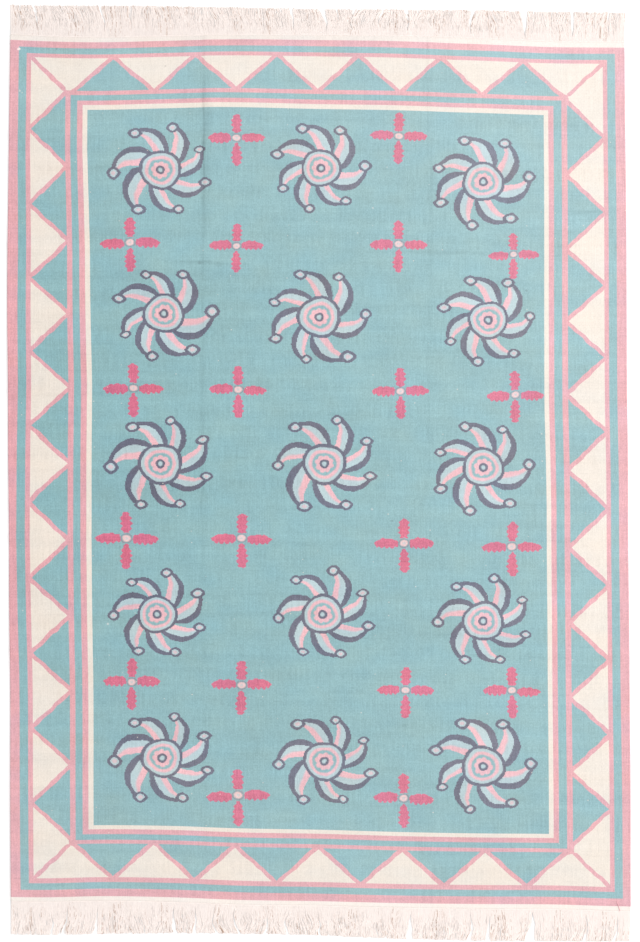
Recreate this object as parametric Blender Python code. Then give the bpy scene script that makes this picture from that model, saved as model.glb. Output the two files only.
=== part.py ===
"""Flat-woven cotton rug with a fringe at each end, lying on its underside.

The cloth is one closed slab with a slightly crooked outline, raised side cords and
soft fold lines. Each fringe is one closed piece: a narrow heading strip along the
cloth's end, with a row of tapered locks that grow out of it and lie on the floor.
Lengths are in metres, +Y runs along the rug and +Z is up.
"""
import math
import random

import bpy
import numpy as np

# Cloth
CLOTH_THICKNESS = 0.004
SIDE_CORD_WIDTH = 0.006
SIDE_CORD_RISE = 0.0006
GRID_SPACING_ACROSS = 0.16
GRID_SPACING_ALONG = 0.14
SWELL_HEIGHT = 0.0004
SWELL_LENGTH = 0.52

# Gap between the cloth and each fringe
PART_GAP = 0.0003

# Heading strips and fringe locks
HEADING_WIDTH = 0.006
LOCKS_PER_END = 148
LOCK_ROOT_SHARE = 0.76
LOCK_TIP_WIDTH = 0.0040
LOCK_TIP_HEIGHT = 0.0024
LOCK_TOP_SHARE = 0.70
LOCK_STEPS = 3
LOCK_LENGTH_JITTER = 0.004
LOCK_SIDE_JITTER = 0.0008
LEAN_POWER = 1.5
SEED = 11

# Side edges of the cloth. Columns: along, left edge, right edge
SIDE_EDGES = (
    (-1.300, -0.9120, 0.9230),
    (-1.200, -0.9130, 0.9225),
    (-0.965, -0.9140, 0.9225),
    (-0.670, -0.9140, 0.9200),
    (-0.410, -0.9170, 0.9180),
    (-0.195, -0.9175, 0.9155),
    (0.030, -0.9200, 0.9150),
    (0.220, -0.9205, 0.9125),
    (0.515, -0.9230, 0.9110),
    (0.810, -0.9200, 0.9095),
    (1.050, -0.9170, 0.9065),
    (1.230, -0.9145, 0.9050),
    (1.310, -0.9135, 0.9040),
)

# End edges of the cloth. Columns: across, near end, far end
END_EDGES = (
    (-0.920, -1.2645, 1.3005),
    (-0.830, -1.2655, 1.2965),
    (-0.650, -1.2625, 1.2920),
    (-0.470, -1.2655, 1.2950),
    (-0.235, -1.2740, 1.2995),
    (0.000, -1.2770, 1.2980),
    (0.240, -1.2830, 1.2965),
    (0.475, -1.2860, 1.2890),
    (0.710, -1.2880, 1.2790),
    (0.830, -1.2920, 1.2775),
    (0.920, -1.2940, 1.2770),
)

# Fold ridges along the rug. Columns: across, half width, near height, far height
FOLDS_ALONG = (
    (-0.333, 0.016, 0.0010, 0.0024),
    (0.333, 0.018, 0.0008, 0.0012),
)

# Fold ridges across the rug. Columns: along, half width, height
FOLDS_ACROSS = (
    (-0.539, 0.022, 0.0008),
    (-0.204, 0.022, 0.0012),
    (0.231, 0.022, 0.0010),
    (0.657, 0.022, 0.0012),
    (0.995, 0.022, 0.0008),
)

# Fringe length. Columns: across, near end, far end
FRINGE_LENGTHS = (
    (-0.92, 0.090, 0.086),
    (-0.65, 0.090, 0.079),
    (-0.47, 0.093, 0.084),
    (-0.23, 0.082, 0.077),
    (0.00, 0.084, 0.073),
    (0.24, 0.085, 0.077),
    (0.47, 0.090, 0.081),
    (0.71, 0.087, 0.075),
    (0.92, 0.090, 0.078),
)

# Sideways lean of the lock tips. Columns: wave length, near swing, far swing, turn
LEAN_WAVES = (
    (0.830, 0.012, -0.014, 0.6),
    (0.370, 0.007, 0.008, 2.1),
    (0.190, 0.004, 0.004, 4.0),
)

# Partings in the far fringe. Columns: across, half width at the tips
FAR_PARTINGS = (
    (-0.877, 0.005),
    (-0.836, 0.005),
    (-0.636, 0.007),
    (-0.560, 0.003),
    (-0.078, 0.005),
    (0.026, 0.004),
    (0.257, 0.006),
    (0.453, 0.007),
    (0.617, 0.007),
    (0.753, 0.006),
)

# Partings in the near fringe. Columns: across, half width at the tips
NEAR_PARTINGS = (
    (-0.797, 0.005),
    (-0.755, 0.006),
    (-0.510, 0.003),
    (-0.433, 0.007),
    (-0.367, 0.005),
    (-0.163, 0.004),
    (-0.090, 0.004),
    (0.000, 0.004),
    (0.277, 0.007),
    (0.438, 0.004),
    (0.501, 0.006),
    (0.625, 0.007),
    (0.872, 0.004),
)
PARTING_REACH = 0.014

# Materials. Columns: name, colour, roughness
CLOTH_COLOUR = ("woven_cotton", (0.32, 0.50, 0.53, 1.0), 0.92)
FRINGE_COLOUR = ("fringe_cotton", (0.89, 0.82, 0.77, 1.0), 0.90)


def drift(table, column, at):
    """Read one column of a table as a smooth curve."""
    rows = np.array(table)
    knots, values = rows[:, 0], rows[:, column]
    slopes = np.gradient(values, knots)
    k = int(np.clip(np.searchsorted(knots, at) - 1, 0, len(knots) - 2))
    step = knots[k + 1] - knots[k]
    t = (at - knots[k]) / step
    start = (1 + 2 * t) * (1 - t) ** 2 * values[k]
    end = t * t * (3 - 2 * t) * values[k + 1]
    leave = t * (1 - t) ** 2 * slopes[k] * step
    arrive = t * t * (t - 1) * slopes[k + 1] * step
    return float(start + end + leave + arrive)


def hump(distance, half_width):
    """Rounded ridge of height one, nought beyond its half width."""
    if abs(distance) >= half_width:
        return 0.0
    return 0.5 + 0.5 * math.cos(math.pi * distance / half_width)


def cloth_top(across, along, edge_distance):
    """Height of the cloth's upper face."""
    share = (along + 1.3) / 2.6
    height = CLOTH_THICKNESS
    for position, half, near, far in FOLDS_ALONG:
        height += (near + (far - near) * share) * hump(across - position, half)
    for position, half, rise in FOLDS_ACROSS:
        height += rise * hump(along - position, half)
    wave = math.sin(2 * math.pi * across / SWELL_LENGTH + 1.3 * along)
    height += SWELL_HEIGHT * wave * math.cos(2 * math.pi * along / SWELL_LENGTH)
    if edge_distance < SIDE_CORD_WIDTH:
        height += SIDE_CORD_RISE
    return height


def grid_lines(low, high, spacing, ridges, extra):
    """Regular lines from low to high, with five lines at each ridge."""
    lines = [low, high] + list(extra)
    for ridge in ridges:
        lines += [ridge[0] + ridge[1] * s for s in (-1.0, -0.5, 0.0, 0.5, 1.0)]
    count = int(round((high - low) / spacing))
    for k in range(1, count):
        candidate = low + (high - low) * k / count
        if min(abs(candidate - line) for line in lines) > 0.3 * spacing:
            lines.append(candidate)
    return sorted(lines)


def cloth_point(across, along, half_width, half_length):
    """Move a point of the regular grid onto the crooked outline."""
    u = (across / half_width + 1) / 2
    v = (along / half_length + 1) / 2
    left = drift(SIDE_EDGES, 1, along)
    right = drift(SIDE_EDGES, 2, along)
    near = drift(END_EDGES, 1, across)
    far = drift(END_EDGES, 2, across)
    return left + (right - left) * u, near + (far - near) * v


def make_object(name, vertices, faces, colour):
    """Make one mesh object with its own material."""
    mesh = bpy.data.meshes.new(name)
    mesh.from_pydata(vertices, [], faces)
    mesh.validate()
    material_name, rgba, roughness = colour
    material = bpy.data.materials.new(name + "_" + material_name)
    material.use_nodes = True
    shader = material.node_tree.nodes["Principled BSDF"]
    shader.inputs["Base Color"].default_value = rgba
    shader.inputs["Roughness"].default_value = roughness
    shader.inputs["Metallic"].default_value = 0.0
    mesh.materials.append(material)
    made = bpy.data.objects.new(name, mesh)
    bpy.context.scene.collection.objects.link(made)
    return made


def build_cloth():
    """Build the woven slab. Return it and its two end rows of points."""
    half_width, half_length = 0.917, 1.285
    cord = half_width - SIDE_CORD_WIDTH
    columns = grid_lines(
        -half_width, half_width, GRID_SPACING_ACROSS, FOLDS_ALONG,
        (-cord, -cord + 0.002, cord - 0.002, cord))
    rows = grid_lines(-half_length, half_length, GRID_SPACING_ALONG, FOLDS_ACROSS, ())
    top, bottom = [], []
    for along in rows:
        for across in columns:
            x, y = cloth_point(across, along, half_width, half_length)
            edge = half_width - abs(across) - 1e-6
            top.append((x, y, cloth_top(across, along, edge)))
            bottom.append((x, y, 0.0))
    wide, tall = len(columns), len(rows)
    under = wide * tall
    faces = []
    for j in range(tall - 1):
        for i in range(wide - 1):
            a = j * wide + i
            b, c, d = a + 1, a + 1 + wide, a + wide
            faces.append((a, b, c, d))
            faces.append((under + d, under + c, under + b, under + a))
    for i in range(wide - 1):
        last = (tall - 1) * wide + i
        faces.append((under + i, under + i + 1, i + 1, i))
        faces.append((last, last + 1, under + last + 1, under + last))
    for j in range(tall - 1):
        a, b = j * wide, (j + 1) * wide
        faces.append((a, b, under + b, under + a))
        a, b = a + wide - 1, b + wide - 1
        faces.append((under + a, under + b, b, a))
    cloth = make_object("woven_cloth", top + bottom, faces, CLOTH_COLOUR)
    near_row = [point[:2] for point in top[:wide]]
    far_row = [point[:2] for point in top[-wide:]]
    return cloth, near_row, far_row


def tip_lean(across, end, partings):
    """Sideways shift of a lock's tip."""
    shift = 0.0
    for length, near, far, turn in LEAN_WAVES:
        swing = far if end > 0 else near
        shift += swing * math.sin(2 * math.pi * across / length + turn)
    for position, half in partings:
        t = (across - position) / PARTING_REACH
        shift += 1.6 * half * t * math.exp(-0.5 * t * t)
    return shift


def build_fringe(name, end_row, end, partings):
    """Build one heading strip and its locks. The end is +1 for far, -1 for near."""
    rng = random.Random(SEED + end)
    row_x = [point[0] for point in end_row]
    row_y = [point[1] for point in end_row]
    first, last = row_x[0], row_x[-1]
    pitch = (last - first) / LOCKS_PER_END
    inset = 0.5 * pitch * (1.0 - LOCK_ROOT_SHARE)
    half_root = 0.5 * pitch * LOCK_ROOT_SHARE
    length_column = 2 if end > 0 else 1
    vertices, faces = [], []

    def add_face(*loop):
        faces.append(tuple(loop) if end > 0 else tuple(reversed(loop)))

    def edge_y(x):
        return float(np.interp(x, row_x, row_y)) + end * PART_GAP

    edges = [first]
    for k in range(LOCKS_PER_END):
        edges += [first + k * pitch + inset, first + (k + 1) * pitch - inset]
    edges.append(last)
    for x in edges:
        y = edge_y(x)
        outer = y + end * HEADING_WIDTH
        vertices += [(x, y, 0.0), (x, y, CLOTH_THICKNESS)]
        vertices += [(x, outer, 0.0), (x, outer, CLOTH_THICKNESS)]
    add_face(0, 1, 3, 2)
    for k in range(len(edges) - 1):
        a, b = 4 * k, 4 * k + 4
        add_face(a + 1, b + 1, b + 3, a + 3)
        add_face(a, a + 2, b + 2, b)
        add_face(a, b, b + 1, a + 1)
        if k % 2 == 0:
            add_face(a + 2, a + 3, b + 3, b + 2)
    a = 4 * (len(edges) - 1)
    add_face(a, a + 2, a + 3, a + 1)

    for k in range(LOCKS_PER_END):
        middle = first + (k + 0.5) * pitch
        lean = tip_lean(middle, end, partings)
        side = rng.uniform(-LOCK_SIDE_JITTER, LOCK_SIDE_JITTER)
        length = drift(FRINGE_LENGTHS, length_column, middle)
        length += rng.uniform(-LOCK_LENGTH_JITTER, LOCK_LENGTH_JITTER) - HEADING_WIDTH
        root_y = edge_y(middle) + end * HEADING_WIDTH
        a, b = 4 * (2 * k + 1), 4 * (2 * k + 2)
        ring = [a + 2, b + 2, b + 3, a + 3]
        for step in range(1, LOCK_STEPS + 1):
            t = step / LOCK_STEPS
            x = middle + lean * t ** LEAN_POWER + side * math.sin(math.pi * t)
            y = root_y + end * length * t
            half = half_root + (0.5 * LOCK_TIP_WIDTH - half_root) * t
            height = CLOTH_THICKNESS + (LOCK_TIP_HEIGHT - CLOTH_THICKNESS) * t
            new = [len(vertices) + n for n in range(4)]
            vertices += [(x - half, y, 0.0), (x + half, y, 0.0)]
            half *= LOCK_TOP_SHARE
            vertices += [(x + half, y, height), (x - half, y, height)]
            for n in range(4):
                m = (n + 1) % 4
                add_face(ring[n], new[n], new[m], ring[m])
            ring = new
        add_face(ring[3], ring[2], ring[1], ring[0])
    return make_object(name, vertices, faces, FRINGE_COLOUR)


def centre_on_origin(objects):
    """Put the middle of the whole rug's footprint at the origin."""
    points = [v.co for made in objects for v in made.data.vertices]
    middle_x = 0.5 * (min(p.x for p in points) + max(p.x for p in points))
    middle_y = 0.5 * (min(p.y for p in points) + max(p.y for p in points))
    for made in objects:
        for vertex in made.data.vertices:
            vertex.co.x -= middle_x
            vertex.co.y -= middle_y
        made.data.update()


def build():
    """Clear the scene and build the rug."""
    for old in list(bpy.data.objects):
        bpy.data.objects.remove(old, do_unlink=True)
    cloth, near_row, far_row = build_cloth()
    near = build_fringe("fringe_near_end", near_row, -1, NEAR_PARTINGS)
    far = build_fringe("fringe_far_end", far_row, 1, FAR_PARTINGS)
    centre_on_origin([cloth, near, far])


build()
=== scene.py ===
import math
import random

import bpy
import numpy as np
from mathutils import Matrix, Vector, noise


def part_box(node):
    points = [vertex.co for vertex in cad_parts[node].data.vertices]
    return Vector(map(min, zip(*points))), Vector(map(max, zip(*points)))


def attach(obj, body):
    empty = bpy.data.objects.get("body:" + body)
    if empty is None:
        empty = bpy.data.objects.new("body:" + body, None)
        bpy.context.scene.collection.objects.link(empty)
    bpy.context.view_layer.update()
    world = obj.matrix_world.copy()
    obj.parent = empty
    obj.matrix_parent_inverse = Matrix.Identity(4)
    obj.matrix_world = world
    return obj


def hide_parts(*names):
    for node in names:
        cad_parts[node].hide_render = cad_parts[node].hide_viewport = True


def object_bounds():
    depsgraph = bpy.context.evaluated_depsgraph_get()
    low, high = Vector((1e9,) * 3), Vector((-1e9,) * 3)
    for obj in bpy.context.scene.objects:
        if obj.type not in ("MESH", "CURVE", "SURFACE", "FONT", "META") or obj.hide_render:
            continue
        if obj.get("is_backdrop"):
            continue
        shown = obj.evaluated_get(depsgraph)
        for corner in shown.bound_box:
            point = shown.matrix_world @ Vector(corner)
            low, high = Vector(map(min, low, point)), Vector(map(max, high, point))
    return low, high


bl_info = {
    "name": "Dhurrie rug",
    "version": (1, 0, 0),
    "blender": (4, 5, 0),
    "location": "View3D > Sidebar > Rug",
    "description": "Builds a flat-woven cotton rug with woven-in rosettes and fringes",
    "category": "Object",
}

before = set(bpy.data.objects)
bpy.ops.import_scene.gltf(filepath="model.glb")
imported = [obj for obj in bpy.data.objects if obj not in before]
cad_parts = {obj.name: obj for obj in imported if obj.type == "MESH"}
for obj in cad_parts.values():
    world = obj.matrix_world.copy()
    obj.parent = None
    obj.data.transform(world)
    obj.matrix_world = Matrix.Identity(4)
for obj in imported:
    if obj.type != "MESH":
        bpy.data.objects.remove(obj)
CAD_BOX = [list(corner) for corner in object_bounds()]

# The cloth before its outline is drawn crooked: half sizes of the woven plan, and depth
# of the plain web at each end
PLAN_HALF_WIDTH = 0.917
PLAN_HALF_LENGTH = 1.285
END_WEB = 0.013

# Edges of the cloth: rounding of its sides and ends, rise of the side cords, and extra
# mesh lines at distances from the sides and the ends
SIDE_ROUNDING, END_ROUNDING = 0.0022, 0.0020
SIDE_CORD_RISE = 0.0007
SIDE_LINES = (0.0006, 0.0015, 0.003, 0.0045, 0.006, 0.008)
END_LINES = (0.0006, 0.0014, 0.003)

# Side edges of the cloth. Columns: along, left edge, right edge
SIDE_EDGES = (
    (-1.300, -0.9120, 0.9230),
    (-1.200, -0.9130, 0.9225),
    (-0.965, -0.9140, 0.9225),
    (-0.670, -0.9140, 0.9200),
    (-0.410, -0.9170, 0.9180),
    (-0.195, -0.9175, 0.9155),
    (0.030, -0.9200, 0.9150),
    (0.220, -0.9205, 0.9125),
    (0.515, -0.9230, 0.9110),
    (0.810, -0.9200, 0.9095),
    (1.050, -0.9170, 0.9065),
    (1.230, -0.9145, 0.9050),
    (1.310, -0.9135, 0.9040),
)

# End edges of the cloth. Columns: across, near end, far end
END_EDGES = (
    (-0.920, -1.2645, 1.3005),
    (-0.830, -1.2655, 1.2965),
    (-0.650, -1.2625, 1.2920),
    (-0.470, -1.2655, 1.2950),
    (-0.235, -1.2740, 1.2995),
    (0.000, -1.2770, 1.2980),
    (0.240, -1.2830, 1.2965),
    (0.475, -1.2860, 1.2890),
    (0.710, -1.2880, 1.2790),
    (0.830, -1.2920, 1.2775),
    (0.920, -1.2940, 1.2770),
)

# Main bends of the woven border, inwards from a straight line, in millimetres.
# Columns: place along the side, at the outer stripes, at the inner stripes
FAR_BENDS = ((-0.85, 3, 3), (-0.30, 0, -2), (0.00, 1, 3), (0.40, 5, 6), (0.85, 3, 2))
NEAR_BENDS = ((-0.85, 0, 1), (-0.40, 2, 3), (0.00, 0, 1), (0.40, 1, -1), (0.85, 2, 0))
LEFT_BENDS = ((-1.20, 3, 5), (-0.60, 1, 5), (-0.20, -5, 3), (0.25, 3, 8), (0.65, 5, 3),
              (0.95, 0, -8), (1.20, 0, -9))
RIGHT_BENDS = ((-1.20, -6, -1), (-0.60, -2, 0), (-0.10, -2, -1), (0.20, 0, 3), (1.20, 0, 0))

# How far inside the border its bends fade out, and the stripe width beyond its edges
BEND_FADE = 0.3
BEYOND_STRIPE = 0.02

# Widths of the border stripes from the outside in. Columns: name, left, right, near, far
BORDER_STRIPES = (
    ("outer pink", 0.0265, 0.0295, 0.0220, 0.0180),
    ("outer teal", 0.0245, 0.0235, 0.0195, 0.0180),
    ("thin pink", 0.0140, 0.0130, 0.0145, 0.0115),
    ("sawtooth", 0.1080, 0.1070, 0.0995, 0.0975),
    ("inner pink", 0.0160, 0.0170, 0.0115, 0.0125),
    ("inner teal", 0.0205, 0.0235, 0.0165, 0.0165),
    ("last pink", 0.0170, 0.0155, 0.0145, 0.0130),
    ("cream line", 0.0150, 0.0135, 0.0120, 0.0145),
)

# Rows of even teeth between the border's corners. Columns: side, first corner, last
# corner, number of teeth, the tooth that the row bulges at, and how far in millimetres
SAWTOOTH_ROWS = (
    ("far", -0.734, 0.724, 6, 1, 3),
    ("near", -0.731, 0.736, 6, 2, -7),
    ("left", 1.132, -1.083, 10, 4, 10),
    ("right", 1.106, -1.102, 10, 4, 13),
)

# How many teeth a bulge reaches on each side of its middle
BULGE_TEETH = 2.5

# Whirling rosettes. Columns: across, along, lay, size in percent
ROSETTES = (
    (-0.470, 0.900, "turned", 100),
    (0.005, 0.905, "upright", 95),
    (0.485, 0.865, "upright", 100),
    (-0.460, 0.475, "upright", 100),
    (0.000, 0.465, "upright", 105),
    (0.500, 0.455, "upright", 95),
    (-0.470, 0.030, "turned", 105),
    (0.015, 0.030, "turned", 105),
    (0.485, 0.020, "upright", 100),
    (-0.480, -0.415, "turned", 95),
    (0.010, -0.415, "turned", 100),
    (0.485, -0.435, "turned", 100),
    (-0.465, -0.840, "turned", 100),
    (0.015, -0.850, "turned", 100),
    (0.485, -0.865, "upright", 105),
)

# The two lays of a rosette, in degrees. Columns: turn, side that its arms lean away from
ROSETTE_LAYS = {"upright": (5, 100), "turned": (31, -75)}

# Lean of the arms in degrees, their number, how much wider than high a rosette is, the
# still middle of its hub and the ring where the lean sets in, and the balls' roundness
ROSETTE_LEAN = 8
ROSETTE_ARMS = 7
ROSETTE_STRETCH = 0.035
HUB_MIDDLE, HUB_BLEND = 0.03, 0.035
BALL_ROUNDNESS = 1.6

# Curves of one rosette arm: how far each line lags behind the tip ball, in degrees.
# Columns: share of the tip circle's radius, back edge, slate line, pale line, front edge
ARM_LINES = (
    (0.40, 63, 51, 35, 15),
    (0.60, 51, 37, 22, 11),
    (0.80, 38, 25, 14, 7),
    (0.90, 30, 16, 8, 3),
    (1.00, 16, 2, 3, -1),
    (1.05, 6, -2, 1, -2),
)

# Four-leaf crosses. Columns: across, along, size in percent
CROSSES = (
    (-0.245, 0.995, 95), (0.235, 1.000, 95),
    (-0.560, 0.685, 100), (-0.245, 0.675, 90), (0.235, 0.680, 95), (0.575, 0.650, 85),
    (-0.550, 0.255, 100), (-0.240, 0.250, 95), (0.240, 0.245, 95), (0.580, 0.235, 95),
    (-0.570, -0.190, 105), (-0.230, -0.190, 100), (0.250, -0.205, 100), (0.570, -0.215, 100),
    (-0.555, -0.615, 95), (-0.230, -0.625, 100), (0.255, -0.640, 95), (0.570, -0.640, 95),
    (-0.240, -0.950, 105), (0.250, -0.960, 100),
)

# Half length that the folds along the rug grow over, and share of a fold's height that
# the underside follows
FOLD_RUN = 1.3
UNDERSIDE_SHARE = 0.8

# Fold ridges along the rug. Columns: across, left foot, right foot, near and far height
FOLDS_ALONG = (
    (-0.333, 0.015, 0.045, 0.0007, 0.0023),
    (0.334, 0.010, 0.040, 0.0003, 0.0011),
)

# Fold ridges across the rug. Columns: along, near foot, far foot, height
FOLDS_ACROSS = (
    (-0.539, 0.022, 0.022, 0.0007),
    (-0.204, 0.022, 0.022, 0.0009),
    (0.231, 0.022, 0.022, 0.0008),
    (0.664, 0.030, 0.014, 0.0010),
    (0.995, 0.022, 0.022, 0.0007),
)

# Outlines of a cross's leaves: upper and lower side of a side leaf, and half width of the
# far and near leaf. Columns: share of the length, share of the width
LEAF_TOP = ((0.0, 0.38), (0.12, 0.82), (0.35, 1.0), (0.65, 0.90), (0.88, 0.46), (1.0, 0.0))
LEAF_LOW = ((0.0, 0.46), (0.12, 0.86), (0.45, 1.0), (0.80, 0.86), (0.93, 0.50), (1.0, 0.04))
FAR_LEAF = ((0.0, 0.62), (0.15, 0.86), (0.4, 1.0), (0.75, 0.98), (0.90, 0.72), (1.0, 0.06))
NEAR_LEAF = ((0.0, 0.20), (0.15, 0.62), (0.35, 0.90), (0.7, 1.0), (0.88, 0.80), (1.0, 0.04))

# Unevenness of the dye. Columns: stretch across, stretch along, detail, share
DYE_STREAKS = (
    (1.1, 34.0, 2.0, 0.17),
    (7.0, 420.0, 0.0, 0.10),
    (260.0, 14.0, 0.0, 0.18),
    (300.0, 210.0, 0.0, 0.29),
    (90.0, 70.0, 1.0, 0.17),
    (12.0, 10.0, 1.0, 0.13),
    (3.0, 3.4, 0.0, 0.07),
)

# Fine creases pressed into the cloth. Columns: across and along at the start, across and
# along at the end, half width in millimetres, painted shade along it, which also sets depth
CREASES = (
    (-0.3430, 1.20, -0.3440, 0.70, 4.5, 0.15),
    (-0.3310, 1.20, -0.3350, 0.74, 13.0, 0.10),
    (-0.3450, 0.62, -0.3510, -0.40, 6.0, 0.05),
    (0.3300, 1.06, 0.3290, 0.42, 6.0, 0.07),
    (-0.457, 0.630, -0.250, 0.621, 5.5, 0.14),
    (0.245, 0.655, 0.545, 0.652, 5.5, 0.075),
    (-0.684, 0.903, -0.618, 0.910, 4.5, 0.09),
    (0.753, 0.771, 0.840, 0.779, 4.0, 0.07),
    (-0.673, 0.043, -0.624, 0.028, 4.0, 0.055),
    (-0.298, 0.050, -0.172, 0.046, 4.5, 0.05),
    (-0.389, -0.533, -0.192, -0.537, 4.0, 0.03),
    (0.300, 0.095, 0.350, 0.091, 3.5, 0.06),
    (0.254, -0.290, 0.254, -0.555, 7.0, 0.022),
    (0.361, -0.133, 0.360, -0.356, 7.0, 0.03),
)

# Odd spots. Columns: across, along, radius in millimetres, lighter (1) or darker (-1) share
SPOTS = (
    (-0.889, 1.258, 4.5, 0.90),
    (-0.887, 1.134, 2.6, 0.45),
    (-0.778, 1.258, 3.0, -0.30),
    (-0.353, 0.625, 5.0, -0.22),
    (0.614, 0.543, 3.4, -0.25),
    (0.215, -0.139, 3.2, -0.28),
    (0.156, -0.104, 3.0, 0.35),
    (-0.6255, -0.444, 3.0, 0.40),
    (-0.455, 1.208, 2.0, -0.40),
    (0.159, 0.787, 2.6, 0.35),
)

# Fringe length. Columns: across, near end, far end
FRINGE_LENGTHS = (
    (-0.92, 0.099, 0.090),
    (-0.65, 0.100, 0.096),
    (-0.23, 0.088, 0.083),
    (0.24, 0.094, 0.080),
    (0.71, 0.096, 0.091),
    (0.92, 0.090, 0.090),
)

# The loose yarns' roots: depth in the cloth, gap to its corners, length of the calm
# corners, height, its spread, the greatest drop to the tips and the tips' uneven lean
ROOT_DEPTH = 0.001
CORNER_GAP, CORNER_CALM = 0.001, 0.03
YARN_LEVEL, LEVEL_SPREAD, TIP_DROP = 0.0022, 0.0003, 0.0010
UNEVEN_LEAN = 0.0010

# Share of yarns that are cut short, and the spread of lengths of those and the others
SHORT_YARNS = 0.08
SHORT_LENGTHS, LONG_LENGTHS = (0.75, 0.95), (0.95, 1.0)

# Partings: how far one is pulled along by the lean, and its least reach in millimetres
PARTING_PULL = 0.6
PARTING_REACH = 12.0

# Colours of the loose yarns. Columns: material, colour setting, gain
YARN_GAINS = (
    ("Far fringe yarn", "fringe", 1.0),
    ("Near fringe yarn", "fringe", 1.055),
    ("Loose weft", "pink", 1.25),
)
YARN_TWIST = 2600.0

# The loose weft end at the near right corner. Columns: across, along, height
LOOSE_WEFT = (
    (0.8800, -1.2640, 0.0042),
    (0.8815, -1.2670, 0.0054),
    (0.8835, -1.2745, 0.0052),
    (0.8870, -1.2830, 0.0054),
    (0.8885, -1.2890, 0.0056),
    (0.8895, -1.2930, 0.0052),
)
LOOSE_WEFT_RADIUS = 0.0009

# The stage: half side of the floor and how far it lies below the rug, side and place of
# the soft light, and the camera's shift from the rug's middle
FLOOR_HALF, FLOOR_DROP = 14.0, 0.0002
LIGHT_SIDE, LIGHT_PLACE = 2.6, (6.6, 2.2, 5.0)
CAMERA_SHIFT = (0.0021, 0.0089)

# Sideways lean of the fringe's tips in millimetres. Columns: across, lean
FAR_LEANS = (
    (-0.92, 0), (-0.75, -14), (-0.58, -2), (-0.42, -11), (-0.10, -15), (0.00, -5),
    (0.20, 2), (0.45, -3), (0.58, -14), (0.65, 2), (0.92, 4),
)
NEAR_LEANS = (
    (-0.92, 0), (-0.65, -7), (-0.54, 8), (-0.45, -6), (-0.10, 2), (0.00, 8), (0.25, -8),
    (0.40, 1), (0.62, -6), (0.70, 6), (0.92, -4),
)

# Partings in the fringes. Columns: across, half width at the tips in millimetres
FAR_PARTINGS = (
    (-0.88, 3), (-0.84, 6), (-0.64, 5), (-0.56, 4), (-0.32, 2), (-0.08, 6), (0.02, 10),
    (0.10, 4), (0.18, 3), (0.26, 7), (0.45, 8), (0.52, 3), (0.61, 12), (0.75, 7), (0.86, 4),
)
NEAR_PARTINGS = (
    (-0.79, 4), (-0.75, 7), (-0.66, 6), (-0.52, 3), (-0.43, 10), (-0.37, 6), (-0.31, 4),
    (-0.25, 5), (-0.16, 5), (-0.09, 6), (0.00, 5), (0.27, 12), (0.45, 6), (0.50, 7),
    (0.63, 16), (0.79, 4), (0.88, 5),
)


def screen_colour(red, green, blue):
    """Linear colour of a dye shade given in screen steps from 0 to 255."""
    steps = [step / 255 for step in (red, green, blue)]
    return [s / 12.92 if s < 0.04045 else ((s + 0.055) / 1.055) ** 2.4 for s in steps]


def metres(name, description, default, low, high):
    """Setting for a length in metres."""
    return bpy.props.FloatProperty(name=name, description=description, default=default,
                                   min=low, max=high, unit="LENGTH")


def whole(name, description, default, low, high):
    """Setting for a whole number."""
    return bpy.props.IntProperty(name=name, description=description, default=default,
                                 min=low, max=high)


def amount(name, description, default, high, unit="NONE"):
    """Setting for an amount from nought up."""
    return bpy.props.FloatProperty(name=name, description=description, default=default,
                                   min=0, max=high, unit=unit)


def dye(name, description, *shade):
    """Setting for a dye shade, given in screen steps."""
    return bpy.props.FloatVectorProperty(name=name, description=description, subtype="COLOR",
                                         default=screen_colour(*shade), min=0, max=1)


class RugSizes(bpy.types.PropertyGroup):
    """Sizes of the woven cloth"""

    cloth_thickness: metres(
        "Cloth thickness", "From the floor to the woven face", 0.004, 0.002, 0.008)
    cell: metres("Mesh cell", "Largest face of the cloth's mesh", 0.0145, 0.008, 0.05)
    cockle: metres(
        "Cockle", "How far the cloth lifts off the floor here and there", 0.0008, 0, 0.003)
    side_cord: metres("Side cord", "Width of the thickened side edge", 0.006, 0.002, 0.02)
    warp_pitch: metres("Warp pitch", "From one warp cord to the next", 0.0036, 0.001, 0.01)
    weft_pitch: metres("Weft pitch", "From one weft pass to the next", 0.0014, 0.0005, 0.01)
    tip_circle: metres(
        "Rosette tip circle", "Radius of the circle through a rosette's balls",
        0.133, 0.05, 0.3)
    hub: metres("Rosette hub", "Radius of a rosette's hub with its ring", 0.0600, 0.02, 0.1)
    ball: metres("Rosette ball", "Radius of a ball at an arm's tip", 0.0182, 0.005, 0.05)
    leaf: metres(
        "Cross reach", "From a cross's centre to the tip of a side leaf", 0.086, 0.03, 0.2)


class RugColours(bpy.types.PropertyGroup):
    """Dye shades of the rug's yarns"""

    teal: dye("Teal", "Field and teal stripes", 142, 175, 179)
    pink: dye("Border pink", "Pink stripes and the sawtooth line", 213, 164, 170)
    cream: dye("Cream", "Cream teeth and cream line", 222, 213, 203)
    web: dye("End web", "Plain webs at both ends", 228, 219, 212)
    slate: dye("Slate", "Outlines of the rosettes", 115, 116, 129)
    pale_blue: dye("Pale blue", "Middle band of the arms", 176, 194, 198)
    blush: dye("Blush", "Front band of the arms", 221, 178, 184)
    rose: dye("Rose", "Leaves of the crosses", 201, 118, 139)
    fringe: dye("Fringe", "Undyed warp ends", 239, 229, 224)


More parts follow.
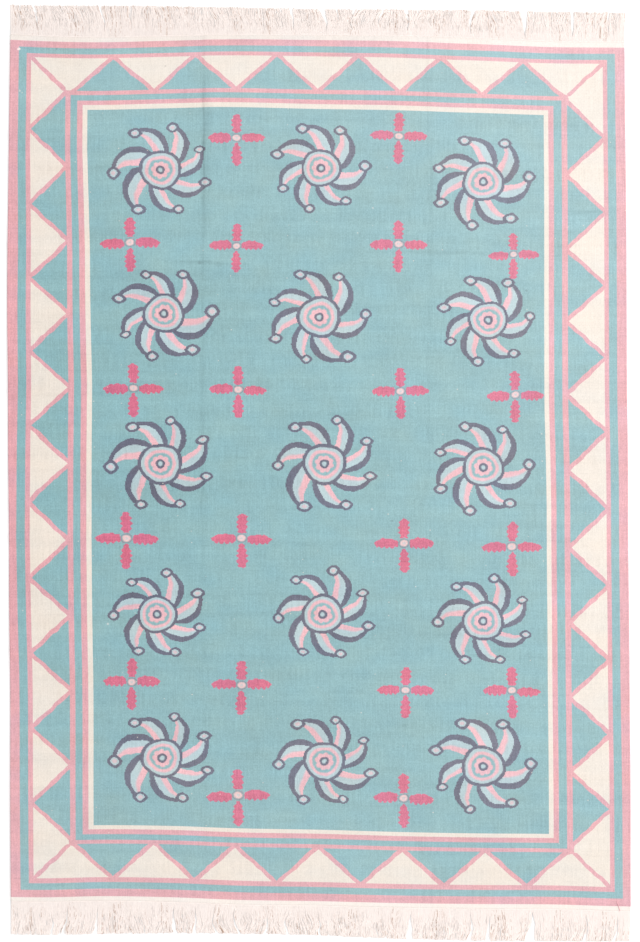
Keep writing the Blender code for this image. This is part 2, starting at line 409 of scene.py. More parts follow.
class FringeSizes(bpy.types.PropertyGroup):
    """Sizes of the fringes"""

    yarns: whole("Yarns", "Loose yarns at each end", 2000, 100, 3000)
    yarn_radius: metres("Yarn radius", "Radius of one loose yarn", 0.0010, 0.0003, 0.003)
    sway: metres("Sway", "How far neighbouring yarns curl sideways together", 0.015, 0, 0.03)
    steps: whole("Yarn steps", "Straight pieces along one yarn", 9, 3, 20)
    heading: metres(
        "Heading width", "Width of the twined cord at the fringe's root", 0.006, 0.002, 0.02)
    seed: whole("Seed", "Seed of the yarns' unevenness", 5, 0, 1000)


class StageSizes(bpy.types.PropertyGroup):
    """Floor, light and camera"""

    floor_shade: amount("Floor shade", "Grey of the pale floor", 0.97, 1)
    sky: amount("Soft light", "Strength of the even light", 0.98, 10)
    key_power: amount(
        "Key light", "Power of the soft light at the right", 380, 5000, "POWER")
    camera_height: metres("Camera height", "From the floor to the camera", 5.424, 1, 20)
    lens: amount("Lens", "Focal length in millimetres", 70, 200)


def smooth_column(table, column, at):
    """Read one column of a table as a smooth curve."""
    rows = np.array(table, float)
    at = np.asarray(at, float)
    knots, values = rows[:, 0], rows[:, column]
    slopes = np.gradient(values, knots)
    k = np.clip(np.searchsorted(knots, at) - 1, 0, len(knots) - 2)
    step = knots[k + 1] - knots[k]
    t = np.clip((at - knots[k]) / step, -0.5, 1.5)
    start = (1 + 2 * t) * (1 - t) ** 2 * values[k]
    end = t * t * (3 - 2 * t) * values[k + 1]
    leave = t * (1 - t) ** 2 * slopes[k] * step
    arrive = t * t * (t - 1) * slopes[k + 1] * step
    return start + end + leave + arrive


def ease(value):
    """Smooth rise from nought to one."""
    value = np.clip(value, 0, 1)
    return value * value * (3 - 2 * value)


def hump(distance, before, after):
    """Rounded ridge of height one, with a foot on each side."""
    share = np.clip(np.where(distance < 0, -distance / before, distance / after), 0, 1)
    return 0.5 + 0.5 * np.cos(np.pi * share)


def sign(operation, turned=False):
    """Arithmetic sign that adds a maths node."""
    def apply(self, other):
        pair = (other, self) if turned else (self, other)
        return self.bench.maths(operation, *pair)
    return apply


class Value:
    """Output of a node, used in formulas with ordinary signs."""

    def __init__(self, bench, socket):
        self.bench, self.socket = bench, socket

    __add__, __radd__ = sign("ADD"), sign("ADD", True)
    __sub__, __rsub__ = sign("SUBTRACT"), sign("SUBTRACT", True)
    __mul__, __rmul__ = sign("MULTIPLY"), sign("MULTIPLY", True)
    __truediv__, __rtruediv__ = sign("DIVIDE"), sign("DIVIDE", True)
    __pow__, __rpow__ = sign("POWER"), sign("POWER", True)
    __gt__, __lt__ = sign("GREATER_THAN"), sign("LESS_THAN")
    __mod__ = sign("FLOORED_MODULO")

    def __abs__(self):
        return self.bench.maths("ABSOLUTE", self)

    def __round__(self):
        return self.bench.maths("ROUND", self)

    def scaled(self, factor, plus):
        """Multiplied by one value, with another one added."""
        return self.bench.maths("MULTIPLY_ADD", self, factor, plus)


class NodeBench:
    """Adds nodes to one tree and links them, so that formulas stay short."""

    def __init__(self, tree):
        self.tree = tree

    def node(self, kind, **settings):
        made = self.tree.nodes.new(kind)
        for name, value in settings.items():
            setattr(made, name, value)
        return made

    def feed(self, socket, value):
        value = getattr(value, "socket", value)
        if isinstance(value, bpy.types.NodeSocket):
            self.tree.links.new(value, socket)
        elif value is not None:
            socket.default_value = value

    def use(self, kind, output, *fed, settings=None, **named):
        """Add a node, feed its inputs in order and by name, and take one output."""
        made = self.node(kind, **(settings or {}))
        for socket, value in zip(made.inputs, fed):
            self.feed(socket, value)
        for label, value in named.items():
            self.feed(made.inputs[label.replace("_", " ")], value)
        return Value(self, made.outputs[output])

    def values(self, sockets):
        return {socket.name: Value(self, socket) for socket in sockets}

    def maths(self, operation, a, b=None, c=None, clamp=False):
        settings = {"operation": operation, "use_clamp": clamp}
        return self.use("ShaderNodeMath", 0, a, b, c, settings=settings)

    def vector(self, operation, a, b=None, scale=None):
        made = self.node("ShaderNodeVectorMath", operation=operation)
        self.feed(made.inputs[0], a)
        self.feed(made.inputs[1], b)
        if scale is not None:
            self.feed(made.inputs["Scale"], scale)
        single = operation in {"LENGTH", "DOT_PRODUCT", "DISTANCE"}
        return Value(self, made.outputs["Value" if single else "Vector"])

    def split(self, vector):
        made = self.node("ShaderNodeSeparateXYZ")
        self.feed(made.inputs[0], vector)
        return [Value(self, socket) for socket in made.outputs]

    def join(self, x, y, z=0.0):
        return self.use("ShaderNodeCombineXYZ", 0, x, y, z)

    def mix(self, share, first, second):
        made = self.node("ShaderNodeMix", data_type="RGBA")
        self.feed(made.inputs[0], share)
        self.feed(made.inputs[6], first)
        self.feed(made.inputs[7], second)
        return Value(self, made.outputs[2])

    def either(self, share, first, second):
        """First number where the share is nought, second where it is one."""
        settings = {"data_type": "FLOAT"}
        return self.use("ShaderNodeMix", 0, share, None, first, second, settings=settings)

    def within(self, value, low, high):
        return (value > low) * (value < high)

    def rises(self, value, edge, blur):
        """Nought below an edge and one above it, with a soft step between."""
        return self.maths("MULTIPLY_ADD", value - edge, 1.0 / blur, 0.5, clamp=True)

    def noise(self, vector, scale, detail=2.0, roughness=0.5):
        made = self.node("ShaderNodeTexNoise", noise_dimensions="3D")
        for label, value in (("Vector", vector), ("Scale", scale), ("Detail", detail),
                             ("Roughness", roughness)):
            self.feed(made.inputs[label], value)
        return Value(self, made.outputs["Fac"]), Value(self, made.outputs["Color"])

    def dice(self, a, b):
        """Random value and random triple of two numbers."""
        made = self.node("ShaderNodeTexWhiteNoise", noise_dimensions="2D")
        self.feed(made.inputs["Vector"], self.join(a, b))
        return Value(self, made.outputs["Value"]), self.split(made.outputs["Color"])

    def attribute(self, name):
        return self.use("ShaderNodeAttribute", "Vector", settings={"attribute_name": name})

    def bump(self, height, strength, distance):
        return self.use("ShaderNodeBump", "Normal", Strength=strength, Distance=distance,
                        Height=height)

    def curve(self, value, points):
        made = self.node("ShaderNodeFloatCurve")
        line = made.mapping.curves[0]
        line.points[0].location = points[0]
        line.points[1].location = points[-1]
        for place in points[1:-1]:
            line.points.new(*place)
        made.mapping.update()
        self.feed(made.inputs["Value"], value)
        return Value(self, made.outputs[0])


def new_tree(kind, name, inputs, outputs):
    """New node group. Inputs and outputs are (name, kind, default)."""
    tree = bpy.data.node_groups.new(name, kind)
    for label, socket_kind, *default in inputs:
        socket = tree.interface.new_socket(label, in_out="INPUT", socket_type=socket_kind)
        if default and default[0] is not None:
            socket.default_value = default[0]
    for label, socket_kind in outputs:
        tree.interface.new_socket(label, in_out="OUTPUT", socket_type=socket_kind)
    bench = NodeBench(tree)
    entry = bench.node("NodeGroupInput")
    leave = bench.node("NodeGroupOutput")
    return bench, bench.values(entry.outputs), leave.inputs


def shader_group(name, inputs, outputs):
    """New shader node group."""
    return new_tree("ShaderNodeTree", name, inputs, outputs)


COLOUR, FLOAT, VECTOR = "NodeSocketColor", "NodeSocketFloat", "NodeSocketVector"
GREY = (0.5, 0.5, 0.5, 1.0)


def places(*names):
    """Rows for inputs that take coordinates."""
    return [(name, VECTOR, None) for name in names]


def tints(*names):
    """Rows for inputs that take colours."""
    return [(name, COLOUR, GREY) for name in names]


def weave_steps_group():
    """Shift that draws a pattern's edges in steps of the weave, with a slight waver."""
    bench, given, out = shader_group(
        "Weave steps",
        (*places("Plan"), ("Step across", FLOAT, 0.0027),
         ("Step along", FLOAT, 0.0022), ("Waver", FLOAT, 0.006)),
        (("Shift", VECTOR),))
    step = bench.join(given["Step across"], given["Step along"], 1.0)
    snapped = bench.vector("SNAP", given["Plan"], step)
    centred = bench.vector("ADD", snapped, bench.vector("SCALE", step, scale=0.5))
    x, y, _ = bench.split(bench.vector("SUBTRACT", centred, given["Plan"]))
    _, colour = bench.noise(snapped, 45.0, 1.0)
    away = bench.vector("SUBTRACT", colour, (0.5, 0.5, 0.5))
    waver = bench.vector("SCALE", away, scale=given["Waver"])
    wx, wy, _ = bench.split(waver)
    bench.feed(out["Shift"], bench.join(x + wx, y + wy))


def border_group():
    """Stripes, sawtooth row and end web, from stripe numbers and tooth numbers."""
    bench, given, out = shader_group(
        "Striped border",
        (*places("Stripes", "Teeth", "Plan"), *tints("Teal", "Pink", "Cream", "Web"),
         ("Line width", FLOAT, 0.082), ("Waver", FLOAT, 0.14)),
        (("Color", COLOUR), ("Mask", FLOAT)))
    sx, sy, _ = bench.split(given["Stripes"])
    px, py, _ = bench.split(given["Teeth"])
    depth = bench.maths("MINIMUM", sx, sy)
    other = bench.maths("MAXIMUM", sx, sy)
    on_side = sx < sy
    share = bench.maths("FRACT", bench.either(on_side, px, py))
    slope = abs(share.scaled(2.0, -1.0))
    slope = slope.scaled(1.1, -0.05)
    _, colour = bench.noise(given["Plan"], 26.0, 1.0)
    stray, uneven, _ = bench.split(colour)
    stray = (stray - 0.5) * given["Waver"]
    width = given["Line width"] * uneven.scaled(0.6, 0.7)
    into = depth - 3.0 + stray
    teeth = bench.mix(into > slope, given["Cream"], given["Teal"])
    gap = abs(into - slope)
    teeth = bench.mix(gap < width, teeth, given["Pink"])
    skew = abs(sx - sy + stray)
    corner = bench.mix(skew < width, given["Cream"], given["Pink"])
    in_corner = other < 4.0
    teeth = bench.mix(in_corner, teeth, corner)
    shade = given["Pink"]
    for edge, colour in ((1, given["Teal"]), (2, given["Pink"]), (3, teeth),
                         (4, given["Pink"]), (5, given["Teal"]), (6, given["Pink"]),
                         (7, given["Cream"])):
        shade = bench.mix(depth > float(edge), shade, colour)
    _, far, _ = bench.split(given["Plan"])
    web = bench.vector("SCALE", given["Web"], scale=far.scaled(-0.028, 1.0))
    shade = bench.mix(sy < 0.0, shade, web)
    bench.feed(out["Color"], shade)
    bench.feed(out["Mask"], depth < 8.0)


def rosette_group():
    """Hub of rings, seven banded arms and a ball at each tip."""
    bench, given, out = shader_group(
        "Whirling rosette",
        (*places("Local", "Straight", "Shift"), ("Tip circle", FLOAT, 0.133),
         ("Hub", FLOAT, 0.06), ("Ball", FLOAT, 0.016),
         *tints("Slate", "Pale blue", "Blush", "Teal")),
        (("Color", COLOUR), ("Mask", FLOAT)))
    lx, ly, seed = bench.split(given["Local"])
    seed = round(seed)
    sector = math.tau / ROSETTE_ARMS
    qx, qy, _ = bench.split(given["Straight"])
    ex, ey, _ = bench.split(given["Shift"])
    turn = bench.maths("ARCTAN2", qy, qx) - bench.maths("ARCTAN2", ly, lx)
    cosine, sine = bench.maths("COSINE", turn), bench.maths("SINE", turn)
    qx = qx + (ex * cosine - ey * sine)
    qy = qy + (ex * sine + ey * cosine)
    radius = bench.vector("LENGTH", bench.join(qx, qy))
    angle = bench.maths("ARCTAN2", qy, qx)
    share = radius / given["Tip circle"]

    def arm_line(column, at):
        first = ARM_LINES[0][0]
        points = [(row[0] - first, (row[column] + 10.0) / 100.0) for row in ARM_LINES]
        return bench.curve(at - first, points).scaled(-math.radians(100), math.radians(10))

    def hand_of(number):
        return bench.dice(number % float(ROSETTE_ARMS), seed)

    middle = (arm_line(1, share) + arm_line(4, share)) * 0.5
    start = middle - 0.5 * sector
    folded = (angle - start) % sector
    arm_angle = folded + start
    arm = round((angle - arm_angle) / sector)
    plump, (far_out, ahead, tone) = hand_of(arm)
    share = share / far_out.scaled(0.1, 0.95)
    arm_angle = arm_angle - ahead.scaled(0.08, -0.04)
    back, slate_line, pale_line, front = (arm_line(c, share) for c in (1, 2, 3, 4))
    bulge = plump.scaled(0.2, 0.9)
    back, slate_line, pale_line = (line * bulge for line in (back, slate_line, pale_line))
    in_reach = bench.within(share, 0.36, 1.05)
    inside = (arm_angle > back) * (arm_angle < front) * in_reach
    shade = bench.mix(arm_angle > slate_line, given["Slate"], given["Pale blue"])
    shade = bench.mix(bench.rises(arm_angle, pale_line, 0.07), shade, given["Blush"])
    shade = bench.vector("SCALE", shade, scale=tone.scaled(0.1, 0.95))

    tip = round(angle / sector)
    plump, (far_out, ahead, _) = hand_of(tip)
    near_angle = tip * sector + ahead.scaled(0.08, -0.04)
    out_to = given["Tip circle"] * far_out.scaled(0.1, 0.95)
    bx = qx - bench.maths("COSINE", near_angle) * out_to
    by = qy - bench.maths("SINE", near_angle) * out_to
    level_x = bx * cosine + by * sine
    level_y = by * cosine - bx * sine
    size = given["Ball"] * plump.scaled(0.3, 0.84)
    wide = (abs(level_x) / (size * 1.13)) ** BALL_ROUNDNESS
    high = (abs(level_y) / (size * 0.88)) ** BALL_ROUNDNESS
    away = (wide + high) ** (1.0 / BALL_ROUNDNESS)
    ball = away < 1.0
    ball_shade = bench.mix(away < 0.57, given["Slate"], given["Pale blue"])
    middle = bench.mix(0.55, given["Pale blue"], given["Blush"])
    ball_shade = bench.mix(away < 0.34, ball_shade, middle)
    shade = bench.mix(ball, shade, ball_shade)
    covered = bench.maths("MAXIMUM", inside, ball)

    bent = bench.maths("SINE", angle.scaled(3.0, seed))
    ring = radius / (given["Hub"] * bent.scaled(0.035, 1.01))
    petal = abs(bench.maths("SINE", angle.scaled(4.0, seed)))
    petal = petal.scaled(0.08, 0.37)
    hub = given["Slate"]
    for edge, colour, blur in ((0.858, given["Pale blue"], 0.02), (0.720, given["Blush"], 0.07),
                               (0.570, given["Teal"], 0.06), (petal, given["Blush"], 0.04),
                               (0.225, given["Slate"], 0.02), (0.110, given["Pale blue"], 0.04)):
        hub = bench.mix(bench.rises(edge, ring, blur), hub, colour)
    in_hub = ring < 1.0
    bench.feed(out["Color"], bench.mix(in_hub, shade, hub))
    bench.feed(out["Mask"], bench.maths("MAXIMUM", covered, in_hub))


def cross_group():
    """Four serrated leaves round a small pale centre."""
    bench, given, out = shader_group(
        "Leaf cross",
        (*places("Local", "Shift"), ("Reach", FLOAT, 0.086),
         *tints("Rose", "Blush", "Slate", "Teal", "Cream", "Pale blue")),
        (("Color", COLOUR), ("Mask", FLOAT)))
    lx, ly, seed = bench.split(given["Local"])
    seed = round(seed)
    ex, ey, _ = bench.split(given["Shift"])

    x = (lx + ex) / given["Reach"]
    y = (ly + ey) / given["Reach"]
    ax, ay = abs(x), abs(y)

    side = bench.maths("SIGN", x)
    _, (lift, plump, turn) = bench.dice(seed, side)
    level = y - lift.scaled(0.11, -0.055)
    level = level / plump.scaled(0.18, 0.95)
    along = (ax - 0.205) / 0.84
    top, low = bench.curve(along, LEAF_TOP), bench.curve(along, LEAF_LOW)
    phase = turn * math.tau
    scallop = abs(bench.maths("SINE", along.scaled(14.5, phase)))
    low = low * scallop.scaled(0.42, 0.66)
    ripple = bench.maths("SINE", along.scaled(21.0, phase))
    top = top * ripple.scaled(0.08, 0.94)
    under_top = level < top.scaled(0.172, -0.005)
    over_low = level > low * -0.18
    wing = under_top * over_low * bench.within(along, 0.0, 1.0)

    up = y > 0.0
    _, (lift, _, turn) = bench.dice(seed, up + 3.0)
    rise = ay - 0.18
    height = rise / up.scaled(-0.16, 0.83)
    form = bench.either(up, bench.curve(height, NEAR_LEAF), bench.curve(height, FAR_LEAF))
    teeth = bench.maths("PINGPONG", rise.scaled(5.6, turn), 0.5)
    width = form * teeth.scaled(-0.175, 0.212)
    lean = (lift - 0.5) * (ay * 0.08)
    stem = bench.within(height, 0.0, 1.0) * (abs(x + lean) < width)
    leaves = bench.maths("MAXIMUM", wing, stem)

    centre = bench.vector("LENGTH", bench.join(x, y * 1.28))
    faint = bench.mix(0.42, given["Teal"], given["Slate"])
    shade = bench.mix(bench.rises(0.205, centre, 0.03), given["Rose"], faint)
    middle = bench.mix(0.35, given["Blush"], given["Cream"])
    shade = bench.mix(bench.rises(0.140, centre, 0.05), shade, middle)
    shade = bench.mix(bench.rises(0.055, centre, 0.05), shade, bench.mix(
        0.6, middle, given["Pale blue"]))
    bench.feed(out["Color"], shade)
    bench.feed(out["Mask"], bench.maths("MAXIMUM", leaves, centre < 0.205))


def dye_streaks_group():
    """Uneven dyeing along the weft, faint ribs along the warp and a fine grain."""
    bench, given, out = shader_group(
        "Dye streaks",
        (*tints("Color"), *places("Plan"), ("Strength", FLOAT, 1.0)),
        (("Color", COLOUR),))
    total = 0.0
    for across, along, detail, share in DYE_STREAKS:
        place = bench.vector("MULTIPLY", given["Plan"], (across, along, 1.0))
        shade, _ = bench.noise(place, 1.0, detail)
        total = total + (shade - 0.5) * share
    _, light, _ = bench.split(given["Color"])
    strength = given["Strength"] * light.scaled(-1.75, 1.75)
    gain = total.scaled(strength, 1.0)
    lean, _ = bench.noise(bench.vector("MULTIPLY", given["Plan"], (9.0, 14.0, 1.0)), 1.0, 1.0)
    lean = (lean - 0.5) * strength
    tint = bench.join(lean.scaled(0.13, 1.0), 1.0, lean.scaled(-0.11, 1.0))
    tinted = bench.vector("MULTIPLY", given["Color"], tint)
    bench.feed(out["Color"], bench.vector("SCALE", tinted, scale=gain))


def painted_light_group():
    """Paler colour towards the far end and the right: painted light, where more light falls on
    the rug.
    """
    bench, given, out = shader_group(
        "Sun fade",
        (*tints("Color"), *places("Plan"), ("Base", FLOAT, -0.022),
         ("Both ends", FLOAT, 0.048), ("Far end", FLOAT, 0.011), ("Far right", FLOAT, 0.041)),
        (("Color", COLOUR),))
    x, y, _ = bench.split(bench.vector("MULTIPLY", given["Plan"], (
        1 / PLAN_HALF_WIDTH, 1 / PLAN_HALF_LENGTH, 1.0)))
    # The fade is painted light: it pushes the colour towards white where the rug is lit more
    fade = (y * y).scaled(given["Both ends"], given["Base"])
    fade = y.scaled(given["Far end"], fade)
    beyond = bench.maths("ADD", y, 1.0, clamp=True)
    fade = (x * beyond).scaled(given["Far right"], fade)
    toward_white = bench.vector("SUBTRACT", (1.0, 1.0, 1.0), given["Color"])
    bench.feed(out["Color"], bench.vector("ADD", given["Color"],
                                          bench.vector("SCALE", toward_white, scale=fade)))


def crease_group():
    """How deep the fine creases are, fading out at both ends; the same value paints shade along
    them.
    """
    bench, given, out = shader_group(
        "Fine creases", (*places("Place"), ("Waver", FLOAT, 0.0012)),
        (("Depth", FLOAT),))
    x, y, _ = bench.split(given["Place"])
    place = bench.join(bench.maths("SINE", y * 41.0).scaled(given["Waver"], x),
                       bench.maths("SINE", x * 41.0).scaled(given["Waver"], y))
    depth = 0.0
    for x0, y0, x1, y1, half, painted_shade in CREASES:
        turned = bench.node("ShaderNodeMapping", vector_type="TEXTURE")
        turned.inputs["Location"].default_value = (0.5 * (x0 + x1), 0.5 * (y0 + y1), 0.0)
        turned.inputs["Rotation"].default_value = (0.0, 0.0, math.atan2(y1 - y0, x1 - x0))
        turned.inputs["Scale"].default_value = (
            0.43 * math.hypot(x1 - x0, y1 - y0), 0.001 * half, 1.0)
        bench.feed(turned.inputs["Vector"], place)
        away = bench.vector("DOT_PRODUCT", turned.outputs[0], turned.outputs[0])
        # Each crease's last column sets both its depth and the shade painted along it
        depth = (0.37 ** away).scaled(painted_shade, depth)
    bench.feed(out["Depth"], depth)


def spots_group():
    """Single odd knots and specks, paler or darker than the cloth round them."""
    bench, given, out = shader_group(
        "Odd spots",
        (*tints("Color"), *places("Place", "Shift"), *tints("Chalk")),
        (("Color", COLOUR),))
    place = bench.vector("MULTIPLY", bench.vector("ADD", given["Place"], given["Shift"]),
                         (1.0, 1.0, 0.0))
    shade = given["Color"]
    for x, y, radius, strength in SPOTS:
        near = bench.rises(0.001 * radius, bench.vector("DISTANCE", place, (x, y, 0.0)), 0.0015)
        other = given["Chalk"] if strength > 0 else (0.08, 0.08, 0.09, 1.0)
        shade = bench.mix(near * abs(strength), shade, other)
    bench.feed(out["Color"], shade)


def lint_group():
    """Small pale flecks of lint caught in the weave."""
    bench, given, out = shader_group(
        "Lint flecks",
        (*tints("Color"), *places("Plan"), *tints("Lint")),
        (("Color", COLOUR),))
    cells = bench.node("ShaderNodeTexVoronoi", voronoi_dimensions="2D", feature="F1")
    bench.feed(cells.inputs["Vector"], given["Plan"])
    bench.feed(cells.inputs["Scale"], 24.0)
    found = bench.values(cells.outputs)
    pick, spread, _ = bench.split(found["Color"])
    share = (found["Distance"] < spread.scaled(0.035, 0.01)) * (pick > 0.86) * 0.6
    bench.feed(out["Color"], bench.mix(share, given["Color"], given["Lint"]))


def rib_relief_group():
    """Height of a weft-faced weave: warp ribs crossed by packed weft passes."""
    bench, given, out = shader_group(
        "Weft-faced relief",
        (*places("Plan"), ("Warp pitch", FLOAT, 0.0036), ("Weft pitch", FLOAT, 0.0014)),
        (("Height", FLOAT),))
    x, y, _ = bench.split(given["Plan"])
    sway, _ = bench.noise(given["Plan"], 60.0, 0.0)
    column = sway.scaled(2.0, x / given["Warp pitch"])
    row = sway.scaled(3.0, y / given["Weft pitch"])
    odd = bench.maths("FLOOR", column) % 2.0
    rib = abs(bench.maths("SINE", column * math.pi))
    row = odd.scaled(0.5, row)
    weft = abs(bench.maths("SINE", row * math.pi))
    height = rib ** 0.6 * weft.scaled(0.45, 0.55)
    rough, _ = bench.noise(given["Plan"], 900.0, 1.0)
    bench.feed(out["Height"], rough.scaled(0.35, height))


def use_group(bench, name, **inputs):
    """Place a shader group in a material and feed its inputs by name."""
    made = bench.node("ShaderNodeGroup", node_tree=bpy.data.node_groups[name])
    for label, value in inputs.items():
        bench.feed(made.inputs[label.replace("_", " ")], value)
    return bench.values(made.outputs)


def new_material(name, roughness):
    """Empty principled material. Returns it, its bench and its shader's inputs."""
    material = bpy.data.materials.new(name)
    material.use_nodes = True
    shader = material.node_tree.nodes["Principled BSDF"]
    shader.inputs["Roughness"].default_value = roughness
    shader.inputs["Specular IOR Level"].default_value = 0.18
    return material, NodeBench(material.node_tree), shader.inputs


def with_alpha(colour):
    """Colour with a solid fourth channel."""
    return (colour[0], colour[1], colour[2], 1.0)


def cloth_material(sizes, colours):
    """Woven cotton with the whole pattern in it."""
    material, bench, shader = new_material("Woven cotton", 0.92)
    plan = bench.attribute("plan")
    teal, pink = with_alpha(colours.teal), with_alpha(colours.pink)
    cream, slate = with_alpha(colours.cream), with_alpha(colours.slate)
    pale, blush = with_alpha(colours.pale_blue), with_alpha(colours.blush)
    shift = use_group(bench, "Weave steps", Plan=plan)["Shift"]
    cross = use_group(
        bench, "Leaf cross", Local=bench.attribute("cross"),
        Shift=shift, Reach=sizes.leaf, Rose=with_alpha(colours.rose), Blush=blush,
        Slate=slate, Teal=teal, Cream=cream, Pale_blue=pale)
    rosette = use_group(
        bench, "Whirling rosette", Local=bench.attribute("rosette"),
        Straight=bench.attribute("rosette_straight"), Shift=shift,
        Tip_circle=sizes.tip_circle, Hub=sizes.hub, Ball=sizes.ball, Slate=slate,
        Pale_blue=pale, Blush=blush, Teal=teal)
    border = use_group(
        bench, "Striped border", Stripes=bench.attribute("stripes"),
        Teeth=bench.attribute("teeth"), Plan=plan, Teal=teal, Pink=pink, Cream=cream,
        Web=with_alpha(colours.web))
    shade = bench.mix(cross["Mask"], teal, cross["Color"])
    shade = bench.mix(rosette["Mask"], shade, rosette["Color"])
    shade = bench.mix(border["Mask"], shade, border["Color"])
    # Painted light: the colours grow paler towards the far end and the right
    shade = use_group(bench, "Sun fade", Color=shade, Plan=plan)["Color"]
    shade = use_group(bench, "Dye streaks", Color=shade, Plan=plan)["Color"]
    shade = use_group(bench, "Lint flecks", Color=shade, Plan=plan, Lint=cream)["Color"]
    place = bench.use("ShaderNodeTexCoord", "Object")
    shade = use_group(bench, "Odd spots", Color=shade, Place=place, Shift=shift,
                      Chalk=with_alpha(colours.fringe))["Color"]
    # Painted shade: the cloth's colour is darkened along the fine creases by the value that also
    # sets their depth
    crease = use_group(bench, "Fine creases", Place=place)["Depth"]
    unshaded = 1.0 - crease
    bench.feed(shader["Base Color"], bench.vector("SCALE", shade, scale=unshaded))
    relief = use_group(bench, "Weft-faced relief", Plan=plan,
                       Warp_pitch=sizes.warp_pitch, Weft_pitch=sizes.weft_pitch)["Height"]
    height = crease.scaled(-42.0, relief)
    bench.feed(shader["Normal"], bench.bump(height, 1.0, 0.00024))
    return material


def yarn_material(name, colour):
    """Loose cotton yarn: plied, slightly uneven in shade, with painted shadow strokes."""
    material, bench, shader = new_material(name, 0.9)
    along, shade, across = bench.split(bench.attribute("strand"))
    place = bench.use("ShaderNodeTexCoord", "Object")
    soil, _ = bench.noise(place, 160.0, 1.0)
    gain = shade.scaled(0.06, bench.maths("MINIMUM", along, 0.1).scaled(0.75, 0.94))
    gain = gain * soil.scaled(0.08, 0.96)
    # Painted shadow: short brown strokes on a few yarns stand in for the shade in the gaps
    # between the yarns
    painted_shade, _ = bench.noise(bench.join(along * 75.0, shade * 90.0), 1.0, 1.0)
    patch, _ = bench.noise(bench.join(across * 16.0, 0.0), 1.0, 1.0)
    limit = along.scaled(1.6, patch)
    painted_shadow_strokes = (shade > 0.85) * (bench.rises(painted_shade, 0.5, 0.06) * bench.rises(limit, 0.56, 0.12))
    base = bench.mix(painted_shadow_strokes, with_alpha(colour), with_alpha(
        [c * k for c, k in zip(colour, (0.60, 0.49, 0.42))]))
    bench.feed(shader["Base Color"], bench.vector("SCALE", base, scale=gain))
    ply = bench.maths("SINE", along * YARN_TWIST)
    fuzz, _ = bench.noise(place, 1500.0, 1.0)
    height = ply.scaled(0.5, fuzz)
    bench.feed(shader["Normal"], bench.bump(height, 0.5, 0.0003))
    return material


def new_piece(name, vertices, faces, material=None, edges=()):
    """Smooth-shaded mesh object in the scene."""
    mesh = bpy.data.meshes.new(name)
    mesh.from_pydata([tuple(v) for v in vertices], edges, [tuple(f) for f in faces])
    mesh.shade_smooth()
    if material:
        mesh.materials.append(material)
    made = bpy.data.objects.new(name, mesh)
    bpy.context.scene.collection.objects.link(made)
    return made


def plan_lines(low, high, spacing, kept):
    """Grid lines through all kept places, with regular lines between them."""
    lines = sorted(set([low, high] + [k for k in kept if low < k < high]))
    filled = []
    for start, end in zip(lines, lines[1:]):
        count = max(1, int(math.ceil((end - start) / spacing - 0.05)))
        filled += [start + (end - start) * n / count for n in range(count)]
    return np.array(filled + [lines[-1]])


def stripe_edges(column):
    """Distances of the stripe edges from the border's outside."""
    return np.concatenate(([0.0], np.cumsum([row[column] for row in BORDER_STRIPES])))


def stray(table, column, place, depth):
    """Inward shift of the border at a depth from the cloth's edge."""
    rows = np.array(table, float)
    edges = stripe_edges(column)
    outer = np.interp(place, rows[:, 0], rows[:, 1])
    inner = np.interp(place, rows[:, 0], rows[:, 2])
    share = np.clip((depth - edges[1]) / (edges[-1] - edges[1]), 0, 1)
    fade = ease(depth / edges[1]) * (1 - ease((depth - edges[-1]) / BEND_FADE))
    return 0.001 * fade * (outer + (inner - outer) * share)


def cloth_outline(across, along):
    """Move plan points onto the crooked outline."""
    u = (across / PLAN_HALF_WIDTH + 1) / 2
    v = (along / PLAN_HALF_LENGTH + 1) / 2
    left, right = (smooth_column(SIDE_EDGES, c, along) for c in (1, 2))
    near, far = (smooth_column(END_EDGES, c, across) for c in (1, 2))
    x = left + (right - left) * u
    y = near + (far - near) * v
    x += stray(LEFT_BENDS, 1, along, PLAN_HALF_WIDTH + across)
    x -= stray(RIGHT_BENDS, 2, along, PLAN_HALF_WIDTH - across)
    y += stray(NEAR_BENDS, 3, across, PLAN_HALF_LENGTH + along)
    y -= stray(FAR_BENDS, 4, across, PLAN_HALF_LENGTH - along)
    return x, y


def cloth_heights(across, along, sizes):
    """Upper and lower face heights of the cloth at plan points."""
    share = (along + FOLD_RUN) / (2 * FOLD_RUN)
    fold = np.zeros_like(across)
    for position, left, right, near, far in FOLDS_ALONG:
        fold += (near + (far - near) * share ** 2) * hump(across - position, left, right)
    for position, before, after, rise in FOLDS_ACROSS:
        fold += rise * hump(along - position, before, after)
    cockle = [noise.noise((9.0 * x, 6.0 * y, 2.5)) for x, y in zip(across, along)]
    fold += sizes.cockle * np.clip(np.array(cockle) + 0.3, 0, 1)
    from_side = PLAN_HALF_WIDTH - np.abs(across)
    from_end = PLAN_HALF_LENGTH - np.abs(along)
    rounding = np.minimum(ease(from_side / SIDE_ROUNDING + 0.12),
                          ease(from_end / END_ROUNDING + 0.3))
    half_cord = 0.6 * sizes.side_cord
    cord = SIDE_CORD_RISE * hump(from_side - 0.5 * sizes.side_cord, half_cord, half_cord)
    middle = 0.5 * sizes.cloth_thickness
    top = middle + (middle + cord) * rounding + fold
    low = middle - middle * rounding + UNDERSIDE_SHARE * fold
    return top, low


def nearest(points, places):
    """Number of the nearest place for each point."""
    gaps = points[:, None, :2] - places[None, :, :2]
    return np.argmin((gaps ** 2).sum(2), axis=1)


def write_attribute(mesh, name, domain, values):
    """Store a vector attribute."""
    layer = mesh.attributes.new(name, "FLOAT_VECTOR", domain)
    layer.data.foreach_set("vector", np.ascontiguousarray(values, np.float32).ravel())


